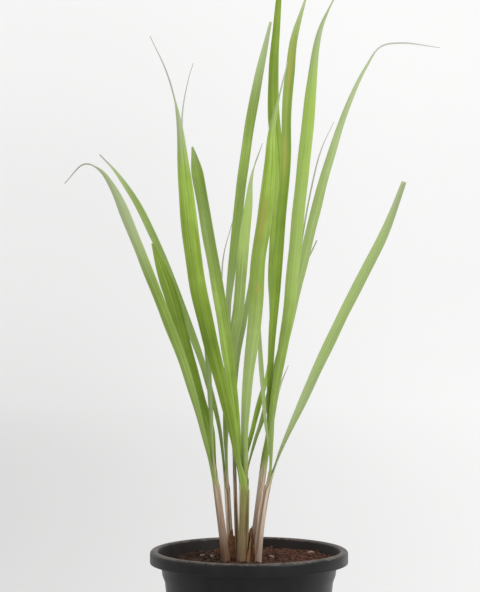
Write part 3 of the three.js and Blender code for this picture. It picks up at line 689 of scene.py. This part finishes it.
def build_pot_floor(material):
    """The floor's plate with its drain holes, and the boss in its middle."""
    mesh = bmesh.new()
    bmesh.ops.create_circle(mesh, segments=PLATE_STEPS, radius=PLATE_RADIUS)
    for hole in range(DRAIN_HOLES):
        turn = Matrix.Rotation(2 * math.pi * (hole + .5) / DRAIN_HOLES, 4, "Z")
        place = turn @ Matrix.Translation((DRAIN_CIRCLE, 0, 0))
        bmesh.ops.create_circle(mesh, segments=DRAIN_STEPS, radius=DRAIN_RADIUS, matrix=place)
    bmesh.ops.triangle_fill(mesh, use_beauty=True, edges=mesh.edges)
    bmesh.ops.translate(mesh, verts=mesh.verts, vec=(0, 0, FLOOR_RISE + PLATE_GAP))
    top = bmesh.ops.extrude_face_region(mesh, geom=mesh.faces)["geom"]
    raised = [item for item in top if isinstance(item, bmesh.types.BMVert)]
    bmesh.ops.translate(mesh, verts=raised, vec=(0, 0, POT_FLOOR - 2 * PLATE_GAP))
    middle = Matrix.Translation((0, 0, BOSS_HEIGHT / 2))
    bmesh.ops.create_cone(mesh, cap_ends=True, segments=BOSS_STEPS, radius1=BOSS_RADIUS,
                          radius2=BOSS_RADIUS + BOSS_SLANT, depth=BOSS_HEIGHT, matrix=middle)
    bmesh.ops.recalc_face_normals(mesh, faces=mesh.faces)
    finished("pot_floor", mesh, material, flat=True)


# ---- Soil ----
def soil_height(x, y):
    mound = MOUND_HEIGHT * math.exp(-math.dist((x, y), MOUND_PLACE) ** 2 / MOUND_SPREAD)
    length, depth = RIPPLE_LENGTHS
    ripples = RIPPLE_HEIGHT * math.sin(x / length + RIPPLE_PHASE) * math.cos(y / depth)
    crossing = CROSS_HEIGHT * math.sin((x + y) / CROSS_LENGTH)
    return SOIL_LEVEL - SOIL_SAG + mound + ripples + crossing + SOIL_SLOPE[0] * x + SOIL_SLOPE[1] * y


def soil_surface(x, y):
    """The soil's height with its lumps and grains."""
    grain = sum(noise.noise(Vector((x, y, layer)) * scale) * height for scale, layer, height in SOIL_NOISE)
    return soil_height(x, y) + grain


def inner_radius(height):
    foot = BASE_RADIUS - POT_WALL
    shoulder = SHOULDER_RADIUS - POT_WALL
    if height <= SHOULDER_HEIGHT:
        return lerp(foot, shoulder, height / SHOULDER_HEIGHT)
    above = (height - SHOULDER_TOP) / (POT_HEIGHT - LIP_DROP - SHOULDER_TOP)
    return lerp(shoulder + SHOULDER_STEP, NECK_RADIUS - POT_WALL, above)


def build_soil(material):
    bottom = FLOOR_RISE + POT_FLOOR + SOIL_GAP
    edge = inner_radius(SOIL_EDGE) - SOIL_GAP
    top = [(edge * ring / SOIL_RINGS, SOIL_LEVEL) for ring in range(SOIL_RINGS + 1)]
    levels = (SHOULDER_TOP, SHOULDER_HEIGHT, bottom + SOIL_CHAMFER)
    sides = [(inner_radius(height) - SOIL_GAP, height) for height in levels]
    foot = inner_radius(bottom) - SOIL_CHAMFER - SOIL_GAP
    mesh = spun([*top, *sides, (foot, bottom), (0, bottom)], SOIL_STEPS)
    mesh.verts.layers.float.new("tint")
    for vertex in mesh.verts:
        if abs(vertex.co.z - SOIL_LEVEL) < MERGED:
            vertex.co.z = soil_surface(vertex.co.x, vertex.co.y)
    finished("soil_body", mesh, material, "soil")


def scattered(dice, margin):
    """A place on the soil, evenly spread, at least margin from the pot's wall."""
    reach = inner_radius(SOIL_EDGE) - margin
    angle = dice.uniform(0, 2 * math.pi)
    radius = reach * math.sqrt(dice.random())
    return radius * math.cos(angle), radius * math.sin(angle)


def build_crumbs(material):
    mesh = bmesh.new()
    tint = mesh.verts.layers.float.new("tint")
    dice = random.Random("crumbs")
    for crumb in range(CRUMBS):
        x, y = scattered(dice, CRUMB_MARGIN)
        size = CRUMB_LEAST + CRUMB_SPREAD * dice.random() ** 3
        turn = Euler([dice.uniform(0, FULL_TURN) for axis in range(3)]).to_matrix().to_4x4()
        width = size * dice.uniform(*CRUMB_WIDTH)
        shape = Matrix.Diagonal((size, width, size * dice.uniform(*CRUMB_DEPTH), 1))
        seat = Matrix.Translation((x, y, soil_surface(x, y) + size * CRUMB_LIFT))
        made = bmesh.ops.create_icosphere(mesh, subdivisions=1, radius=1, matrix=seat @ turn @ shape)["verts"]
        colour = dice.random() ** 4 * CRUMB_BARK
        for vertex in made:
            vertex.co += Vector([dice.uniform(-CRUMB_DENT, CRUMB_DENT) * size for axis in range(3)])
            vertex[tint] = colour
    finished("soil_crumbs", mesh, material, flat=True)


def build_fibres(material):
    """Dry root hairs and straw: thin four-sided rods that lie on the soil."""
    mesh = bmesh.new()
    tint = mesh.verts.layers.float.new("tint")
    dice = random.Random("fibres")
    for fibre in range(FIBRES):
        x, y = scattered(dice, FIBRE_MARGIN)
        length = dice.uniform(*FIBRE_LENGTH)
        radius = dice.uniform(*FIBRE_RADIUS)
        heading = dice.uniform(0, 2 * math.pi)
        curl = dice.uniform(-FIBRE_CURL, FIBRE_CURL)
        tips = bmesh.ops.create_circle(mesh, cap_ends=True, segments=FIBRE_SIDES, radius=radius,
                                       matrix=Matrix.Rotation(math.pi / 2, 4, "X"))["verts"]
        seat = Matrix.Translation((x, y, soil_surface(x, y) + radius * 2))
        bmesh.ops.transform(mesh, matrix=seat @ Matrix.Rotation(heading, 4, "Z"), verts=tips)
        made = list(tips)
        faces = [tips[0].link_faces[0]]
        for step in range(FIBRE_STEPS):
            grown = bmesh.ops.extrude_face_region(mesh, geom=faces, use_keep_orig=False)["geom"]
            tips = [item for item in grown if isinstance(item, bmesh.types.BMVert)]
            faces = [item for item in grown if isinstance(item, bmesh.types.BMFace)]
            along = heading + math.pi / 2 + curl * step / FIBRE_STEPS
            here = sum((tip.co for tip in tips), Vector()) / len(tips)
            there = here + Vector((math.cos(along), math.sin(along), 0)) * length / FIBRE_STEPS
            there.z = soil_surface(there.x, there.y) + radius * 2
            bmesh.ops.translate(mesh, verts=tips, vec=there - here)
            made += tips
        for vertex in made:
            vertex[tint] = 1
    bmesh.ops.recalc_face_normals(mesh, faces=mesh.faces)
    finished("soil_fibres", mesh, material)


def build_chip(chip, material):
    """A splinter of bark: a worn lump with broken facets."""
    dents, dent_depth = CHIP_DENTS
    facets, facet_depth = CHIP_FACETS
    mesh = bmesh.new()
    dice = random.Random(chip["name"])
    bmesh.ops.create_icosphere(mesh, subdivisions=3, radius=.5)
    shift = Vector([dice.uniform(0, CHIP_NOISES) for axis in range(3)])
    for vertex in mesh.verts:
        worn = noise.noise_vector(vertex.co * dents + shift) * dent_depth
        broken = noise.noise_vector(vertex.co * facets + shift) * facet_depth
        vertex.co += worn + broken
    x, y = chip["place"]
    length, depth, height = chip["size"]
    near = (-CHIP_REACH, 0, CHIP_REACH)
    rest = max(soil_surface(x + dx, y + dy) for dx in near for dy in near)
    bmesh.ops.scale(mesh, verts=mesh.verts, vec=(length, depth, height))
    bmesh.ops.rotate(mesh, verts=mesh.verts, matrix=Matrix.Rotation(math.radians(chip["turn"]), 3, "Z"))
    bmesh.ops.translate(mesh, verts=mesh.verts, vec=(x, y, rest + height * CHIP_LIFT))
    finished(chip["name"], mesh, material, chip["name"], flat=True)


# ---- Stalks and leaves ----
def stalk_axis(stalk, height):
    share = height / stalk["reach"]
    bulge = 4 * share * (1 - share)
    ends = zip(stalk["foot"], stalk["top"], stalk["bow"])
    across = [lerp(foot, top, share) + bow * bulge for foot, top, bow in ends]
    return Vector((*across, SOIL_LEVEL + height))


def stalk_direction(stalk, height):
    reach = .001
    return (stalk_axis(stalk, height + reach) - stalk_axis(stalk, height - reach)).normalized()


def swell(height):
    return 1 + SWELL * math.exp(-max(height, 0) / SWELL_HEIGHT)


def outward(side, direction):
    """Unit vector square to the stalk, from its axis to the compass angle side."""
    out = Vector((math.cos(math.radians(side)), math.sin(math.radians(side)), 0))
    return (out - direction * out.dot(direction)).normalized()


# One section of a leaf: a strip bent to a radius about a line beside its midrib, and how far it has come
# along the leaf. share is negative on the sheath.
Section = namedtuple("Section", "midrib inward across bend width walked share height")


def bent(section, across):
    """A section's point, from -1 at one margin to 1 at the other, and the direction outwards there."""
    angle = across * section.width / section.bend / 2
    out = -section.inward * math.cos(angle) + section.across * math.sin(angle)
    return section.midrib + section.inward * section.bend + out * section.bend, out


def blade_width(leaf, share):
    start, end = leaf["taper"]
    neck = lerp(BLADE_FOOT, 1, smoothstep(share, 0, BLADE_SPREAD))
    narrowing = 1 - max(0, (share - start) / (end - start)) ** TAPER_POWER if share < end else 0
    thread = lerp(THREAD_WIDTH, THREAD_END, smoothstep(share, end, TIP))
    return max(thread, leaf["width"] * neck * narrowing)


def sheath_sections(leaf):
    stalk = STALKS[leaf["name"][0]]
    layer = int(leaf["name"][1]) - 1
    outside = stalk["radius"] - layer * LAYER_STEP
    for step in range(SHEATH_STATIONS + 1):
        height = lerp(-ROOTED, leaf["collar"], step / SHEATH_STATIONS)
        direction = stalk_direction(stalk, height)
        inward = -outward(leaf["side"], direction)
        radius = outside * swell(height) - SHEATH_WALL / 2
        midrib = stalk_axis(stalk, height) - inward * radius
        wrap = lerp(COLLAR_WRAP, SHEATH_WRAP, smoothstep(leaf["collar"] - height, 0, NECK_LENGTH))
        walked = height - leaf["collar"]
        yield Section(midrib, inward, direction.cross(inward), radius, wrap * radius, walked, -1, height)


def leaf_sections(leaf):
    sections = list(sheath_sections(leaf))
    collar = sections[-1]
    direction = collar.inward.cross(collar.across)
    points = [Vector(point) for point in leaf["route"]]
    route = Route([collar.midrib - direction * STATION, collar.midrib, *points])
    start = STATION / route.length
    turn, *turning = leaf["turn"]
    inward = collar.inward
    for step in range(1, BLADE_STATIONS + 1):
        share = step / BLADE_STATIONS
        along = route.heading(lerp(start, 1, share))
        inward = (inward - along * inward.dot(along)).normalized()
        twist = math.radians(turn) * smoothstep(share, *turning)
        facing = inward * math.cos(twist) + along.cross(inward) * math.sin(twist)
        across = along.cross(facing)
        width = lerp(collar.width, blade_width(leaf, share), smoothstep(share, 0, OPENING))
        bend = lerp(collar.bend, max(width / BLADE_FOLD, LEAST_BEND), smoothstep(share, 0, UNROLLING))
        width = min(width, SHEATH_WRAP * bend)
        walked = share * (route.length - STATION)
        midrib = route.at(lerp(start, 1, share))
        sections.append(Section(midrib, facing, across, bend, width, walked, share, leaf["collar"]))
    return sections


def relief(section, across, phase):
    """How far a leaf stands out of its bent strip: the keel, a sheath's ribs, a margin's waves."""
    on_blade = smoothstep(section.share, 0, KEEL_START)
    broad = smoothstep(section.width, THREAD_WIDTH, THIN_WIDTH)
    keel = KEEL * on_blade * broad * math.exp(-((across / KEEL_WIDTH) ** 2))
    ribs = RIB_HEIGHT * (1 - on_blade) * math.cos(across * RIBS * 2 * math.pi)
    lag = 0 if across > 0 else WAVE_LAG
    wave = math.sin(section.walked / WAVE_LENGTH * 2 * math.pi + phase + lag)
    return keel + ribs + MARGIN_WAVE * on_blade * broad * wave * across ** 2


def leaf_tones(leaf, section, across):
    """What a point of a leaf gives each layer of its colour."""
    stalk = STALKS[leaf["name"][0]]
    share = max(section.share, 0)
    dry = leaf["dry"]
    ageing = smoothstep(share, dry - AGEING, dry)
    spots = [strength * math.exp(-((share - place) / reach) ** 2 - ((across - side) / RUST_WIDTH) ** 2)
             for place, side, reach, strength in leaf.get("rust", ())]
    paper = 0
    if "paper" in leaf and section.share < 0:
        rising = smoothstep(section.height, *PAPER_FOOT)
        paper = rising * math.exp(-((across - leaf["paper"]) / PAPER_WIDTH) ** 4)
    return {
        "light": graded(leaf["light"], share),
        "bloom": min(graded(leaf["bloom"], share) + AGEING_BLOOM * ageing, 1),
        "dry": smoothstep(share + DRY_MARGIN * abs(across) ** 3, dry - DRY_START, dry + DRY_END),
        "rust": sum(spots) if section.share > 0 else 0,
        "rise": (section.height + share * leaf["collar"] * BLADE_RISE) / leaf["collar"],
        "blush": stalk["blush"],
        "brown": lerp(*stalk["brown"], section.height / BROWN_REACH),
        "paper": paper,
    }


def build_leaf(leaf, material):
    sections = leaf_sections(leaf)
    phase = random.Random(leaf["name"]).uniform(0, PHASES)
    mesh = bmesh.new()
    layers = {name: mesh.verts.layers.float.new(name) for name in LEAF_LAYERS}
    uv = mesh.loops.layers.uv.new("Strip")
    bmesh.ops.create_grid(mesh, x_segments=ACROSS, y_segments=len(sections) - 1, size=1, calc_uvs=True)
    for face in mesh.faces:
        for loop in face.loops:
            section = sections[round(loop[uv].uv.y * (len(sections) - 1))]
            loop[uv].uv.y = section.walked * STRIP_SCALE + phase
    for vertex in mesh.verts:
        across = vertex.co.x
        section = sections[round((vertex.co.y + 1) / 2 * (len(sections) - 1))]
        point, out = bent(section, across)
        vertex.co = point + out * relief(section, across, phase)
        for name, tone in leaf_tones(leaf, section, across).items():
            vertex[layers[name]] = tone
    finished("leaf_" + leaf["name"], mesh, material, "leaf_" + leaf["name"], LEAF_THICKNESS)


def build_dead_sheath(scale, material):
    """A dry scale curled round a stalk's foot, with a torn upper edge."""
    stalk = STALKS[scale["stalk"]]
    tears, tear_depth = DEAD_TEAR
    mesh = bmesh.new()
    mesh.loops.layers.uv.new("Strip")
    bmesh.ops.create_grid(mesh, x_segments=ACROSS, y_segments=DEAD_STATIONS, size=1, calc_uvs=True)
    for vertex in mesh.verts:
        across, along = vertex.co.x, (vertex.co.y + 1) / 2
        tear = noise.noise(Vector((across * tears, scale["height"] * DEAD_TEAR_NOISE, 0)))
        torn = 1 - DEAD_SIDES * across ** 2 - tear_depth * tear
        height = lerp(-DEAD_ROOT, scale["height"] * torn, along)
        direction = stalk_direction(stalk, height)
        inward = -outward(scale["side"], direction)
        wrinkle = noise.noise(Vector((across * DEAD_CRUMPLES[0], height * DEAD_CRUMPLES[1], scale["side"])))
        crumple = max(wrinkle * DEAD_CRUMPLE * smoothstep(height, 0, DEAD_CRUMPLE_START), -DEAD_DENT)
        flare = DEAD_FLARE * smoothstep(height, 0, DEAD_FLARE_HEIGHT)
        radius = stalk["radius"] * swell(height) + DEAD_CLEAR + flare + crumple
        midrib = stalk_axis(stalk, height) - inward * radius
        wrap = math.radians(scale["reach"]) * lerp(1, DEAD_TIP_REACH, along ** 2)
        section = Section(midrib, inward, direction.cross(inward), radius, wrap * radius, height, -1, height)
        vertex.co = bent(section, across)[0]
    finished(scale["name"], mesh, material, scale["name"], DEAD_THICKNESS)


def finished(name, mesh, material, node=None, thickness=None, flat=False):
    """Turns a bmesh into a piece that rides on the plant, and that may stand for a construction node."""
    data = bpy.data.meshes.new(name)
    mesh.to_mesh(data)
    mesh.free()
    data.materials.append(material)
    if not flat:
        data.shade_smooth()
    piece = bpy.data.objects.new("grown_" + name, data)
    bpy.context.scene.collection.objects.link(piece)
    if thickness:
        wall = piece.modifiers.new("Wall", "SOLIDIFY")
        wall.thickness = thickness
        wall.offset = 0
    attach(piece, "root")
    if node:
        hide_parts(node)


# ---- Studio ----
def build_studio():
    mesh = spun(SWEEP, SWEEP_STEPS)
    bmesh.ops.reverse_faces(mesh, faces=mesh.faces)
    data = bpy.data.meshes.new("floor")
    mesh.to_mesh(data)
    mesh.free()
    data.materials.append(floor_finish())
    data.shade_smooth()
    floor = bpy.data.objects.new("floor", data)
    bpy.context.scene.collection.objects.link(floor)
    world = bpy.context.scene.world or bpy.data.worlds.new("Studio")
    bpy.context.scene.world = world
    world.use_nodes = True
    world.node_tree.nodes["Background"].inputs["Color"].default_value = STUDIO_WHITE
    world.node_tree.nodes["Background"].inputs["Strength"].default_value = 1
    for name, place, size, power in LAMPS:
        lamp = bpy.data.objects.new(name, bpy.data.lights.new(name, "AREA"))
        lamp.data.shape = "DISK"
        lamp.data.size = size
        lamp.data.energy = power
        lamp.location = place
        lamp.rotation_euler = (Vector(LAMP_TARGET) - Vector(place)).to_track_quat("-Z", "Y").to_euler()
        bpy.context.scene.collection.objects.link(lamp)


def build_camera():
    camera = bpy.data.objects.new("camera", bpy.data.cameras.new("camera"))
    camera.location = CAMERA_PLACE
    camera.rotation_euler = (math.pi / 2, 0, 0)
    camera.data.lens = LENS
    camera.data.sensor_width = SENSOR
    bpy.context.scene.collection.objects.link(camera)
    bpy.context.scene.camera = camera


build_camera()
build_studio()
bpy.context.scene.view_settings.view_transform = "Standard"
pot_plastic = pot_finish()
build_pot(pot_plastic)
build_pot_floor(pot_plastic)
potting_soil = soil_finish()
build_soil(potting_soil)
build_crumbs(potting_soil)
build_fibres(potting_soil)
bark = chip_finish()
noise.seed_set(CHIP_SEED)
for chip in CHIPS:
    build_chip(chip, bark)
dead_sheath = dead_finish()
for scale in DEAD_SHEATHS:
    build_dead_sheath(scale, dead_sheath)
leaf_green = leaf_finish()
for leaf in LEAVES:
    build_leaf(leaf, leaf_green)
